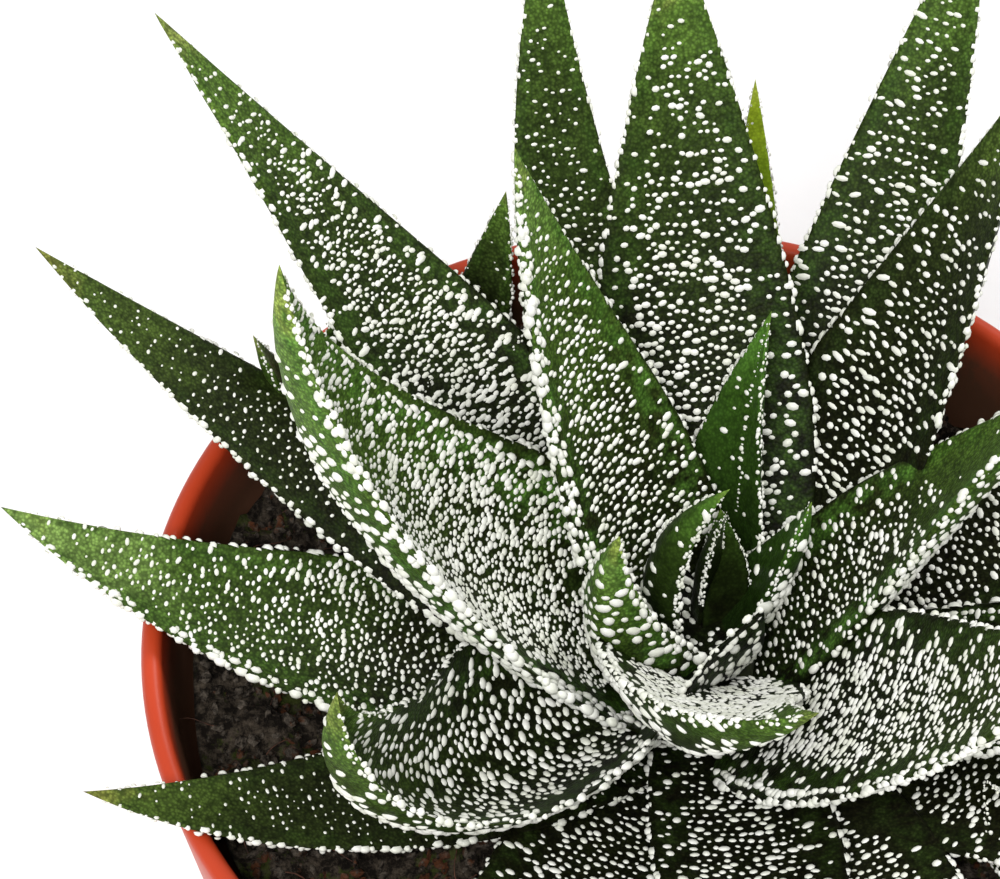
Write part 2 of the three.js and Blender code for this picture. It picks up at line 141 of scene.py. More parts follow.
def leafSkinMaterial(name, colours):
    # Succulent leaf skin: a waxy cuticle over green tissue. It is dark at the foot, painted shade for the
    # deep shadow inside the rosette, brighter in a band beside each margin and towards the tip, and finely
    # beaded all over.
    material, tree, shader, place = newMaterial(name, {
        "Roughness": 0.5, "IOR": 1.42, "Specular IOR Level": 0.08})
    along = addNode(tree, "ShaderNodeAttribute", {"attribute_name": "along"})
    across = addNode(tree, "ShaderNodeAttribute", {"attribute_name": "crossways"})
    drift = addNode(tree, "ShaderNodeTexNoise", {}, {
        "Vector": place, "Scale": 1 / (6 * mm), "Detail": 4.0, "Roughness": 0.6})
    driftAmount = addNode(tree, "ShaderNodeMapRange", {}, {
        "Value": drift.outputs["Fac"], "To Min": -0.2, "To Max": 0.2})
    shifted = addNode(tree, "ShaderNodeMath", {"operation": "ADD"}, {
        0: along.outputs["Fac"], 1: driftAmount.outputs["Result"]})
    # along the length: painted shade at the foot, brighter towards the tip
    length = addNode(tree, "ShaderNodeValToRGB", {}, {"Fac": shifted.outputs[0]})
    ramp = length.color_ramp
    ramp.elements[0].position, ramp.elements[0].color = 0.0, linear(colours["foot"])
    ramp.elements[1].position, ramp.elements[1].color = 1.0, linear(colours["point"])
    for at, key in ((0.4, "middle"), (0.72, "upper"), (0.92, "tip")):
        ramp.elements.new(at).color = linear(colours[key])
    # the green bands beside the margins
    edgeward = addNode(tree, "ShaderNodeMath", {"operation": "ABSOLUTE"}, {0: across.outputs["Fac"]})
    band = addNode(tree, "ShaderNodeValToRGB", {}, {"Fac": edgeward.outputs[0]})
    bandRamp = band.color_ramp
    bandRamp.elements[0].position, bandRamp.elements[0].color = 0.5, (0, 0, 0, 1)
    bandRamp.elements[1].position, bandRamp.elements[1].color = 0.98, (0, 0, 0, 1)
    bandRamp.elements.new(0.75).color = (1, 1, 1, 1)
    bandRamp.elements.new(0.9).color = (0.8, 0.8, 0.8, 1)
    patch = addNode(tree, "ShaderNodeTexNoise", {}, {
        "Vector": place, "Scale": 1 / (1.8 * mm), "Detail": 3.0, "Roughness": 0.6})
    patchShare = addNode(tree, "ShaderNodeMapRange", {}, {
        "Value": patch.outputs["Fac"], "From Min": 0.38, "From Max": 0.62})
    patchy = addNode(tree, "ShaderNodeMath", {"operation": "MULTIPLY_ADD"}, {
        0: band.outputs["Color"], 1: colours["bandShare"], 2: colours["patchShare"]})
    bandShare = addNode(tree, "ShaderNodeMath", {"operation": "MULTIPLY"}, {
        0: patchy.outputs[0], 1: patchShare.outputs["Result"]})
    banded = addNode(tree, "ShaderNodeMix", {"data_type": "RGBA"}, {
        "Factor": bandShare.outputs[0], 6: length.outputs["Color"], 7: linear(colours["band"])})
    # the beads of the cuticle's cells, about 0.3 mm across, with painted light on their tops and painted
    # shade in the dark seams
    cells = addNode(tree, "ShaderNodeTexVoronoi", {"feature": "F1"}, {
        "Vector": place, "Scale": 1 / (0.3 * mm)})
    cellShade = addNode(tree, "ShaderNodeMapRange", {}, {
        "Value": cells.outputs["Distance"], "From Min": 0.05, "From Max": 0.65,
        "To Min": 1 + colours["grain"], "To Max": 1 - colours["grain"]})
    grain = addNode(tree, "ShaderNodeTexNoise", {}, {
        "Vector": place, "Scale": 1 / (0.7 * mm), "Detail": 3.0, "Roughness": 0.6})
    grainShade = addNode(tree, "ShaderNodeMapRange", {}, {
        "Value": grain.outputs["Fac"], "From Min": 0.3, "From Max": 0.7,
        "To Min": 1 - colours["grain"], "To Max": 1 + colours["grain"]})
    shade = addNode(tree, "ShaderNodeMath", {"operation": "MULTIPLY"}, {
        0: cellShade.outputs["Result"], 1: grainShade.outputs["Result"]})
    grained = addNode(tree, "ShaderNodeVectorMath", {"operation": "SCALE"}, {
        0: banded.outputs[2], "Scale": shade.outputs[0]})
    bump = addNode(tree, "ShaderNodeBump", {"invert": True}, {
        "Height": cells.outputs["Distance"], "Strength": colours["grain"], "Distance": 0.12 * mm})
    tree.links.new(grained.outputs[0], shader.inputs["Base Color"])
    tree.links.new(bump.outputs["Normal"], shader.inputs["Normal"])
    return material


def wartMaterial():
    # Tubercle: dense white, lightly glossy tissue that scatters light, creamier here and there
    material, tree, shader, place = newMaterial("tubercleWhite", {"Roughness": 0.38, "IOR": 1.45})
    _, tint = tintedClouds(tree, place, 2.5, 2.0, 0.5, (0.3, "#e4e6d6"), (0.6, "#f6f6ee"))
    tree.links.new(tint, shader.inputs["Base Color"])
    return material


def potMaterial():
    # Injection-moulded polypropylene in terracotta: even colour, satin, with a very faint moulded grain.
    # Painted shade darkens the inside in blotches, from near the lip down.
    material, tree, shader, place = newMaterial("terracottaPolypropylene", {
        "Roughness": 0.4, "IOR": 1.49, "Specular IOR Level": 0.35})
    _, tint = tintedClouds(tree, place, 14, 4.0, 0.5, (0.3, "#c14020"), (0.7, "#ca4625"))
    # painted shade on the inside wall: its strength from the lip down, blotched, mixed over the terracotta
    paintedShade = addNode(tree, "ShaderNodeAttribute", {"attribute_name": "paintedShade"})
    blotch = addNode(tree, "ShaderNodeTexNoise", {}, {
        "Vector": place, "Scale": 1 / (3 * mm), "Detail": 6.0, "Roughness": 0.7})
    blotchedShade = addNode(tree, "ShaderNodeMath", {"operation": "MULTIPLY_ADD", "use_clamp": True}, {
        0: blotch.outputs["Fac"], 1: 0.8, 2: -0.4})
    innerShade = addNode(tree, "ShaderNodeMath", {"operation": "MULTIPLY_ADD", "use_clamp": True}, {
        0: blotchedShade.outputs[0], 1: paintedShade.outputs["Fac"], 2: paintedShade.outputs["Fac"]})
    coloured = addNode(tree, "ShaderNodeMix", {"data_type": "RGBA"}, {
        "Factor": innerShade.outputs[0], 6: tint, 7: linear("#5a3c2c")})
    grain = addNode(tree, "ShaderNodeTexNoise", {}, {"Vector": place, "Scale": 1 / (0.6 * mm), "Detail": 2.0})
    bump = addNode(tree, "ShaderNodeBump", {}, {
        "Height": grain.outputs["Fac"], "Strength": 0.12, "Distance": 0.1 * mm})
    tree.links.new(coloured.outputs[2], shader.inputs["Base Color"])
    tree.links.new(bump.outputs["Normal"], shader.inputs["Normal"])
    return material


def soilMaterial(name, dark, light, other, otherShare):
    # Peat: fibrous, nearly black where it is moist and grey-brown where it has dried, with another colour
    # here and there
    material, tree, shader, place = newMaterial(name, {"Roughness": 0.9, "Specular IOR Level": 0.12})
    cloud, tint = tintedClouds(tree, place, 1.1, 6.0, 0.75, (0.45, dark), (0.66, light))
    patch = addNode(tree, "ShaderNodeTexNoise", {}, {
        "Vector": place, "Scale": 1 / (5 * mm), "Detail": 5.0, "Roughness": 0.8})
    patchShare = addNode(tree, "ShaderNodeMapRange", {}, {
        "Value": patch.outputs["Fac"], "From Min": 0.52, "From Max": 0.6, "To Max": otherShare})
    patchy = addNode(tree, "ShaderNodeMix", {"data_type": "RGBA"}, {
        "Factor": patchShare.outputs["Result"], 6: tint, 7: linear(other)})
    bump = addNode(tree, "ShaderNodeBump", {}, {"Height": cloud, "Strength": 1.0, "Distance": 0.8 * mm})
    tree.links.new(patchy.outputs[2], shader.inputs["Base Color"])
    tree.links.new(bump.outputs["Normal"], shader.inputs["Normal"])
    return material


def mottledMaterial(name, dark, light, pitch, roughness):
    # A surface of two near colours in cloudy patches, dull and faintly rough
    material, tree, shader, place = newMaterial(name, {"Roughness": roughness})
    cloud, tint = tintedClouds(tree, place, pitch, 5.0, 0.6, (0.35, dark), (0.65, light))
    bump = addNode(tree, "ShaderNodeBump", {}, {
        "Height": cloud, "Strength": 0.4, "Distance": pitch * mm / 10})
    tree.links.new(tint, shader.inputs["Base Color"])
    tree.links.new(bump.outputs["Normal"], shader.inputs["Normal"])
    return material


oldSkin = leafSkinMaterial("waxyLeafSkin", {
    "foot": "#100f08", "middle": "#1c200e", "upper": "#36471b", "tip": "#5a792f", "point": "#8c9a4c",
    "band": "#415f23", "bandShare": 0.5, "patchShare": 0.1, "grain": 0.45})
# painted shade: a darker copy of the skin for the leaves that lie in shadow
shadedSkin = leafSkinMaterial("waxyLeafSkinInShade", {
    "foot": "#0f0d07", "middle": "#191a0c", "upper": "#2c3617", "tip": "#506629", "point": "#848a40",
    "band": "#33471c", "bandShare": 0.4, "patchShare": 0.08, "grain": 0.45})
paleTipSkin = leafSkinMaterial("waxyLeafSkinPaleTip", {
    "foot": "#100f08", "middle": "#1f230f", "upper": "#435c22", "tip": "#7e9c50", "point": "#98ac50",
    "band": "#456426", "bandShare": 0.6, "patchShare": 0.1, "grain": 0.45})
# painted light: a brighter, greener copy of the skin for the leaves that face the light
brightSkin = leafSkinMaterial("waxyLeafSkinInSun", {
    "foot": "#131409", "middle": "#272e12", "upper": "#4f6c27", "tip": "#749746", "point": "#98ac50",
    "band": "#517a2e", "bandShare": 0.85, "patchShare": 0.1, "grain": 0.45})
youngSkin = leafSkinMaterial("waxyYoungLeafSkin", {
    "foot": "#10170a", "middle": "#20320f", "upper": "#355418", "tip": "#568430", "point": "#8ea446",
    "band": "#2f4c1a", "bandShare": 0.4, "patchShare": 0.2, "grain": 0.3})
budSkin = leafSkinMaterial("waxyBudSkin", {
    "foot": "#121507", "middle": "#1e290d", "upper": "#304416", "tip": "#527a2c", "point": "#7ea042",
    "band": "#2b3e15", "bandShare": 0.3, "patchShare": 0.15, "grain": 0.3})
shootSkin = leafSkinMaterial("waxyShootSkin", {
    "foot": "#4a6418", "middle": "#6e8c1e", "upper": "#8cac28", "tip": "#a8be30", "point": "#b8c84c",
    "band": "#94b42c", "bandShare": 0.4, "patchShare": 0.2, "grain": 0.2})
white = wartMaterial()
terracotta = potMaterial()
# peat with a little moss, and its dried crumbs with reddish ones among them
peat = soilMaterial("moistPeat", "#1a1510", "#5c5246", "#46521c", 0.6)
crumbPeat = soilMaterial("driedPeatCrumbs", "#1c1712", "#7a7064", "#643a22", 0.8)
# dry roots among the peat, and the corky skin of the rosette's stem
dryFibre = mottledMaterial("dryRootFibre", "#2c1a12", "#6c4430", 0.8, 0.8)
stemSkin = mottledMaterial("greenStemSkin", "#1c210f", "#3c4420", 1.5, 0.7)
# sheet of matt white paper under the pot
palePaper = mottledMaterial("mattWhitePaper", "#fcfcfc", "#ffffff", 40, 0.9)
print("materials made")


# Leaf formulas, the same as the part's own

# The blades are broadest at fullAt of their length, and thin out from thinFrom.
blade = {
    "fullAt": 0.3, "footShare": 0.8, "taperPower": 1.45,
    "thinFrom": 0.15, "thinPower": 1.3, "bellyPower": 1.5,
    "risePower": 1.4, "swingPower": 1.5, "heel": 5,
    "edgeThickness": 0.55,               # of the rounded margin
    "faces": (72, 18),                   # along the blade and across one side of it
    "shortBelow": 30, "shortFaces": (44, 14),   # the same for blades below a length
    "heelRings": 6,
    "skinUntil": 0.985,                  # share of the length where the rings end and the point begins
    "ripple": 0.1, "ripplePitch": 3.2,   # unevenness of the skin
}


def leafSpec(size, bearing, rise, base, **turns):
    length, width, thick = size
    spec = {"x": stemX, "y": 0, "heel": blade["heel"], "length": length, "width": width, "thick": thick,
            "bearing": bearing, "rise": rise, "base": base, "swing": 0, "roll": 0, "twist": 0, "cup": 0.12,
            # share of the places that have a wart on either face, their spacing and size against the usual,
            # how long they get, where along the upper face they thin out, and whether the underside shows
            "wartShare": 1.0, "backShare": 1.0, "wartSpacing": 1.0, "wartSize": 1.0, "backSize": 1.0,
            "wartStretch": 2.0, "backStretch": 2.0, "bareFrom": 1.0, "showsBack": False,
            # the size of the right and left margin's rows, seen from the foot with the upper face up, their
            # pitch, how bare the bands beside them are, and whether a row of dashes runs up the middle
            "rowSize": (1.0, 1.0), "rowPitch": 1.0, "bare": (0.55, 0.55), "midRow": False}
    return {**spec, **turns}


inner = {"x": 2.9, "y": -0.4}   # the growing point leans, so three leaves set out from beside the stem
bud = {"wartShare": 0, "backShare": 0, "rowSize": (0.45, 0.45), "rowPitch": 0.4}
leaves = [
    leafSpec((12.5, 2.8, 1.2), 150, (92, 100), (1.8, 83.8), **bud),
    leafSpec((11, 4.6, 1.4), 102, (74, 80), (0.8, 82), **bud),
    leafSpec((23, 6.3, 1.8), 185, (76, 134), (2.6, 78.5), **inner, swing=1.5, roll=20, twist=-11, cup=0.05,
             wartShare=0.6, backShare=0.5, bareFrom=0.4, rowSize=(0.8, 0.7), rowPitch=0.55),
    leafSpec((17.7, 8.1, 2.6), 21, (48, 78), (0.3, 79.1), **inner, heel=1.5, roll=-14, twist=-25, cup=0.13,
             wartShare=0.14, wartSize=1.3, backSize=1.25, backStretch=1.4, rowSize=(0.6, 0.65), rowPitch=0.6,
             showsBack=True),
    leafSpec((27.5, 10, 4.6), 209, (54, 103), (3.4, 74.5), swing=-17, roll=44, twist=-10, cup=0.2,
             wartSpacing=0.85, backSize=1.1, backStretch=1.6, rowSize=(1.2, 1.35), showsBack=True),
    leafSpec((30.6, 10.7, 3.2), 81, (60, 46.5), (4, 72.7), **inner, swing=-17, roll=-22, twist=-22, cup=0.23,
             wartShare=0.2, backShare=0.5, rowSize=(0.65, 0.95), rowPitch=0.5, midRow=True),
    leafSpec((46.7, 17.7, 4), 250.5, (46.5, 53.5), (2.3, 76.1), swing=80.5, roll=-3, twist=-24, cup=0.31,
             wartSpacing=0.78, backShare=0.45, backSize=1.1, rowSize=(1.15, 1.0), bare=(0.85, 0.3),
             showsBack=True),
    leafSpec((53, 15.5, 4), 140, (59, 79), (3, 76), roll=-7, twist=26, wartSpacing=0.92,
             rowSize=(0.95, 1.4), bare=(0.6, 0.85)),
    leafSpec((44, 15, 4), 15, (50, 55), (3.2, 75.5), swing=-14, twist=-41, backSize=1.15, backStretch=1.5,
             showsBack=True, rowSize=(1.1, 1.0), bareFrom=0.35),
    leafSpec((69.5, 21.5, 4.2), 188, (37, 93), (2.5, 74.5), swing=-11, roll=-20, twist=32, cup=0.5,
             wartSpacing=0.66, wartSize=1.08, wartStretch=1.6, backSize=1.2, backStretch=1.2,
             rowSize=(1.2, 1.4), bare=(0.2, 0.9), showsBack=True),
    leafSpec((61.5, 19.5, 4.2), 96, (44, 55), (3.9, 74), swing=-1, roll=-3, twist=6, wartSize=1.1,
             wartSpacing=0.9, wartStretch=1.7),
    leafSpec((60, 19, 4.2), 307, (45, 66), (3.8, 73), swing=8, roll=26, cup=0.15, wartSpacing=0.96,
             wartSize=1.2, backSize=1.1, rowSize=(1.3, 1.0), bare=(0.7, 0.5), showsBack=True),
    leafSpec((52.5, 18.5, 4.4), 220, (-10, 103), (4.2, 80), swing=-13, roll=17, twist=-52, cup=0.9,
             wartSpacing=1.07, wartSize=1.22, rowSize=(1.0, 1.2), bare=(0.3, 0.8), showsBack=True),
    leafSpec((56.5, 18, 4.2), 50, (43, 58), (4.5, 73.5), swing=3, roll=-6, twist=-35, cup=0.2,
             wartSpacing=1.12, wartSize=1.05, wartStretch=2.8),
    leafSpec((60, 16, 4.2), 274, (14, 40), (4.6, 72)),
    leafSpec((72, 19.5, 4.2), 135, (26.5, 38.5), (4.9, 71), swing=7, roll=-4, twist=35, cup=0.05,
             wartSpacing=0.76, wartStretch=2.6),
    leafSpec((64, 16, 4.2), 346, (24, 34), (5, 71.5), wartSpacing=0.85, rowSize=(1.2, 1.2)),
    leafSpec((53.5, 14.5, 4.2), 211, (10, 21), (5.3, 71), swing=-31, roll=10, twist=-11, cup=0.05,
             wartSize=0.6),
    leafSpec((71, 15, 4.2), 66, (32, 42.5), (5.4, 71), swing=5, roll=-5, wartSpacing=1.02, wartStretch=2.4),
    leafSpec((60, 16, 4.2), 294, (15, 31), (5.6, 70.5)),
    leafSpec((65.5, 16, 4.2), 157, (22, 30), (5.9, 69.5), swing=-6, roll=7, twist=8, cup=0.02,
             wartSize=0.72),
    leafSpec((62, 15.5, 4.2), 26, (20, 31), (6, 70), wartSpacing=0.9),
    leafSpec((58, 15.5, 4.2), 241, (14, 26), (6, 70)),
    leafSpec((68, 13.5, 4.2), 112, (25, 47), (6.3, 69.5), swing=-23, roll=11, cup=0.02, wartSize=0.75),
    leafSpec((59, 17, 4.2), 181, (10, 25), (5.5, 71.5), swing=-21, roll=-8, cup=0.2, wartSpacing=0.74,
             wartSize=0.8, rowSize=(1.1, 1.25), bare=(0.1, 0.5)),
    leafSpec((58, 15, 4.2), 326, (17, 34), (6.4, 70)),
]

offsets = [
    {"x": -18.6, "y": 30, "turn": 60, "length": 22.5, "width": 6.5},
    {"x": -27, "y": 24, "turn": 190, "length": 21.5, "width": 7},
    {"x": 9, "y": 33, "turn": 95, "length": 30, "width": 5},
    {"x": 30, "y": -19.5, "turn": 155, "length": 12, "width": 6},
]
offset = {
    "leafCount": 3, "shrink": 0.12, "thick": 2, "rise": (62, 76), "out": 0.8, "heel": 1,
    "stemAbove": 3, "turn": 137.5, "faces": (30, 10),
}


def heading(spec, shares):
    # directions along the midline, and level across it
    outward = np.maximum(shares, 0)
    low, high = spec["rise"]
    slope = np.radians(low + (high - low) * outward ** blade["risePower"])
    way = np.radians(spec["bearing"] + spec["swing"] * outward ** blade["swingPower"])
    along = np.stack([np.cos(slope) * np.cos(way), np.cos(slope) * np.sin(way), np.sin(slope)], -1)
    across = np.stack([-np.sin(way), np.cos(way), 0 * way], -1)
    return along, across


def midline(spec):
    out, height = spec["base"]
    bearing = math.radians(spec["bearing"])
    steps = math.ceil(spec["length"])
    start = [spec["x"] + out * math.cos(bearing), spec["y"] + out * math.sin(bearing), height]
    along, _ = heading(spec, (np.arange(steps) + 0.5) / steps)
    return np.vstack([start, start + np.cumsum(along * spec["length"] / steps, axis=0)])


def stations(spec, shares):
    # place, directions and size of the section at each share of the length
    shares = np.asarray(shares, float)
    line = midline(spec)
    outward = np.maximum(shares, 0)
    knots = np.linspace(0, 1, len(line))
    along, across = heading(spec, shares)
    place = np.stack([np.interp(outward, knots, line[:, i]) for i in range(3)], -1)
    place += along * (np.minimum(shares, 0) * spec["length"])[:, None]
    up = np.cross(along, across)
    turn = np.radians(spec["roll"] + spec["twist"] * outward)[:, None]
    full, foot, thinFrom = blade["fullAt"], blade["footShare"], blade["thinFrom"]
    swell = foot + (1 - foot) * np.sin(np.radians(90 * outward / full))
    taper = 1 - np.maximum(0, (shares - full) / (1 - full)) ** blade["taperPower"]
    thin = 1 - np.maximum(0, (shares - thinFrom) / (1 - thinFrom)) ** blade["thinPower"]
    return {
        "place": place, "along": along,
        "across": across * np.cos(turn) + up * np.sin(turn),
        "up": up * np.cos(turn) - across * np.sin(turn),
        "half": spec["width"] / 2 * np.where(shares < full, swell, taper),
        "thick": spec["thick"] * thin, "cup": spec["cup"],
    }


def lift(station, c, side):
    # height of the section over its middle: side is 1 above and -1 below
    belly = station["thick"] * (1 - np.abs(c) ** blade["bellyPower"])
    return station["cup"] * station["half"] * c * c - np.where(side < 0, belly, 0)


def sectionPoints(spec, shares, c, side, proud=0.0):
    # points of the blade's skin, with the margin rounded and the skin slightly uneven
    station = stations(spec, shares)
    station = {k: v[:, None] if k in ("half", "thick") else v for k, v in station.items()}
    edge = blade["edgeThickness"] / 2 * np.sqrt(1 - np.minimum(np.abs(c), 1) ** 10)
    edge = edge * np.minimum(1, station["half"] / 2)
    height = lift(station, c, side) + side * (edge + proud)
    return (station["place"][:, None] + station["across"][:, None] * (c * station["half"])[..., None]
            + station["up"][:, None] * height[..., None])


def insideOthers(points, spec, others, margin):
    # which points lie within another blade, or nearer to it than the margin
    hidden = np.zeros(len(points), bool)
    shares = np.linspace(-0.06, 1, 60)
    reachAlong = 2   # how far before or behind its nearest section a point may lie
    for other in others:
        if other is spec:
            continue
        station = stations(other, shares)
        gaps = points[:, None] - station["place"][None]
        nearest = np.argmin((gaps ** 2).sum(-1), 1)
        gap = gaps[np.arange(len(points)), nearest]
        across, up, forward = ((gap * station[way][nearest]).sum(-1) for way in ("across", "up", "along"))
        half = station["half"][nearest]
        thick = station["thick"][nearest]
        c = np.clip(across / np.maximum(half, 0.01), -1, 1)
        top = other["cup"] * half * c * c + blade["edgeThickness"] / 2
        bottom = top - blade["edgeThickness"] - thick * (1 - np.abs(c) ** blade["bellyPower"])
        hidden |= ((np.abs(across) < half + margin) & (up < top + margin) & (up > bottom - margin)
                   & (np.abs(forward) < reachAlong))
    return hidden


def clearLength(spec, others):
    # how far along its length a small leaf reaches before it meets a bigger one, and just into that
    shares = np.linspace(0.1, 1, 60)
    met = insideOthers(stations(spec, shares)["place"], spec, others, 0)
    return shares[np.argmax(met)] + 0.02 if met.any() else 1


# Leaves: the skin comes from the formulas, and the warts (tubercles) grow on it in Geometry Nodes

# Heights are against half the width.
warts = {
    "spacingAbove": 0.64, "spacingBelow": 1.1,
    "halfWidth": 0.245,         # of a middling wart
    "height": 0.75, "sunk": 0.22,
    "turnStray": 0.35,          # how far they turn off the blade's length
    "belowFactor": 1.5,         # how much larger they are on the underside
    "clearance": 0.35,          # bare strip around what lies on the skin
    "rowPitch": 0.86,           # between the warts of a margin row
    "rowHalfWidth": 0.24, "rowHeight": 1.25,
    "rowStray": 0.16,           # how far a wart of a row lies off its line
    "rowDrift": 0.35,           # and along it, against the pitch
    "rowGaps": 0.06,            # share of a row's warts that are missing
    "seed": 11,
}

# How warts change over a blade, as places and the factors there. Along it, 0 is the foot and 1 the tip, and
# across it 0 is the middle and 1 the margin.
trends = {
    "densityAlong": ([-0.1, -0.08, 0.5, 0.75, 0.9, 0.98], [0, 1, 1, 0.6, 0.3, 0]),
    "densityAcrossBelow": ([0, 0.85, 0.95, 0.98], [1, 0.95, 0.5, 0]),
    "sizeAlong": ([0, 0.4, 0.95], [0.95, 1, 0.75]),
    "sizeAcrossAbove": ([0, 0.45, 0.75, 0.9], [0.95, 0.95, 1.1, 1.1]),
    "rowSizeAlong": ([0, 0.3, 0.8, 0.96], [0.9, 1, 0.85, 0.45]),
    "bareLength": 0.25, "bareDensity": 0.04,   # where a leaf's upper face turns bare
}

# Rows of warts along each margin: how far out from the midline, on which face, size against rowHalfWidth,
# and from which row size on a leaf has them
marginRows = [
    {"reach": 0.998, "side": 1, "size": 1.1, "from": 0},
    {"reach": 0.95, "side": -1, "size": 1.1, "from": 0},
    {"reach": 0.89, "side": 1, "size": 1.0, "from": 1.15},
    {"reach": 0.79, "side": 1, "size": 0.9, "from": 1.4},
]
# the row of dashes up the middle of a leaf that has midRow
middleRow = {"reach": -0.33, "side": 1, "size": 0.9, "crosswise": True}
middleRowSize = 0.6


def wartPlan(spec, shares, c, side):
    # how densely warts stand and how large they are, over a blade
    right, left = spec["bare"]
    above = np.interp(c, [-0.95, -0.9, -0.82, -0.64, -0.5, 0.5, 0.64, 0.82, 0.9, 0.95],
                      [0, 0.5, 1 - right, 1 - right, 1, 1, 1 - left, 1 - left, 0.5, 0]) * spec["wartShare"]
    below = np.interp(np.abs(c), *trends["densityAcrossBelow"]) * spec["backShare"]
    bareness = np.interp(shares, [spec["bareFrom"], spec["bareFrom"] + trends["bareLength"]],
                         [1, trends["bareDensity"]])
    density = np.where(side > 0, above * bareness, below) * np.interp(shares, *trends["densityAlong"])
    size = np.interp(np.abs(c), *trends["sizeAcrossAbove"])
    size = np.where(side > 0, size, warts["belowFactor"] * spec["backSize"])
    size = size * np.interp(shares, *trends["sizeAlong"])
    return density, size * warts["halfWidth"] * spec["wartSize"]


def railPoints(spec, c, side, steps):
    # a line of places along a blade, with the way that the skin faces there
    shares = np.linspace(-0.9 * spec["heel"] / spec["length"], 0.96, steps)
    points = sectionPoints(spec, shares, np.array([[c]]), np.array([[side]]))[:, 0]
    station = stations(spec, shares)
    # how much it faces up against outwards: little on the margin itself, down on the underside
    slope = -0.9 if side < 0 else 0.4 if abs(c) > 0.95 else 3
    facing = station["up"] * slope + station["across"] * math.copysign(1, c)
    return shares, points, facing / np.linalg.norm(facing, axis=1)[:, None]


def bladeMesh(name, specs, others, skin, rows, columns):
    # the skins of one or more blades in one mesh, with loose edges where the margin rows will stand
    theta = np.radians(np.linspace(-90, 90, columns + 1))
    ringC = np.concatenate([np.sin(theta), np.sin(theta[::-1])[1:-1]])
    ringSide = np.array([1] * (columns + 1) + [-1] * (columns - 1))
    sides = len(ringC)
    vertices, faces, edges, fields = [], [], [], []
    count = 0
    for spec in specs:
        until = clearLength(spec, others) if len(specs) > 1 else 1
        heel = np.linspace(-spec["heel"] / spec["length"], 0, blade["heelRings"])[:-1]
        shares = np.concatenate([heel, np.linspace(0, blade["skinUntil"] * until, rows)])
        flat = sectionPoints(spec, shares, ringC[None], ringSide[None]).reshape(-1, 3)
        station = stations(spec, shares)
        # the ripple fades out towards the margins
        bumps = np.array([noise.noise(Vector(p) / blade["ripplePitch"]) for p in flat])
        outward = np.tile(ringSide * np.sqrt(1 - ringC ** 4), len(shares))[:, None]
        lifted = np.repeat(station["up"], sides, 0) * outward
        flat = flat + lifted * (bumps * blade["ripple"])[:, None]
        share, c, side = np.repeat(shares, sides), np.tile(ringC, len(shares)), np.tile(ringSide, len(shares))
        density, size = wartPlan(spec, share, c, side)
        hidden = insideOthers(flat, spec, others, warts["clearance"]) | (flat[:, 2] < soilHeight - 1)
        density = np.where(hidden, 0, density)
        across = np.repeat(station["across"], sides, 0)
        vertices.append(flat)
        fields.append(np.column_stack([share, c, side, density, size, across, 0 * flat, 0 * share]))
        for row in range(len(shares) - 1):
            for column in range(sides):
                a, b = count + row * sides + column, count + row * sides + (column + 1) % sides
                faces.append((a, a + sides, b + sides, b))
        last = count + (len(shares) - 1) * sides
        tip = stations(spec, [until])["place"][0]
        foot = station["place"][0] - station["up"][0] * spec["thick"] / 2
        for point, where, turn in ((tip, last, 1), (foot, count, -1)):
            vertices.append(point[None])
            end = count + len(shares) * sides + (turn < 0)
            fields.append(np.array([[1 if turn > 0 else 0, 0, 1, 0, 0, 0, 0, 1, 0, 0, 0, 0]], float))
            for column in range(sides):
                pair = (where + column, where + (column + 1) % sides)
                faces.append((pair[0], end, pair[1]) if turn > 0 else (pair[1], end, pair[0]))
        count += len(shares) * sides + 2
        steps = max(8, int(spec["length"] * 1.5))
        lines = [(row, way * row["reach"], size) for row in marginRows
                 for way, size in zip((-1, 1), spec["rowSize"]) if size >= row["from"]]
        if spec["midRow"]:
            lines.append((middleRow, middleRow["reach"], middleRowSize))
        for row, c, sizeHere in lines:
            railShares, rail, facing = railPoints(spec, c, row["side"], steps)
            hidden = insideOthers(rail, spec, others, warts["clearance"]) | (rail[:, 2] < soilHeight)
            rowSize = np.interp(railShares, *trends["rowSizeAlong"]) * warts["rowHalfWidth"]
            rowSize = np.where(hidden, 0, rowSize * sizeHere * row["size"])
            one = np.ones(steps)
            way = stations(spec, railShares)["across" if "crosswise" in row else "along"]
            vertices.append(rail)
            fields.append(np.column_stack([railShares, c * one, row["side"] * one, 0 * one, rowSize, way,
                                           facing, one]))
            edges += [(count + i, count + i + 1) for i in range(steps - 1)]
            count += steps
    mesh = meshFrom(name, np.vstack(vertices), faces, [skin, white], edges)
    values = np.vstack(fields)
    values[:, 4] *= mm
    for i, label in enumerate(("along", "crossways", "face", "wartDensity", "wartSize")):
        setAttribute(mesh, label, values[:, i])
    setAttribute(mesh, "wartWay", values[:, 5:8], "FLOAT_VECTOR")
    setAttribute(mesh, "rowFacing", values[:, 8:11], "FLOAT_VECTOR")
    setAttribute(mesh, "rail", values[:, 11])
    return mesh


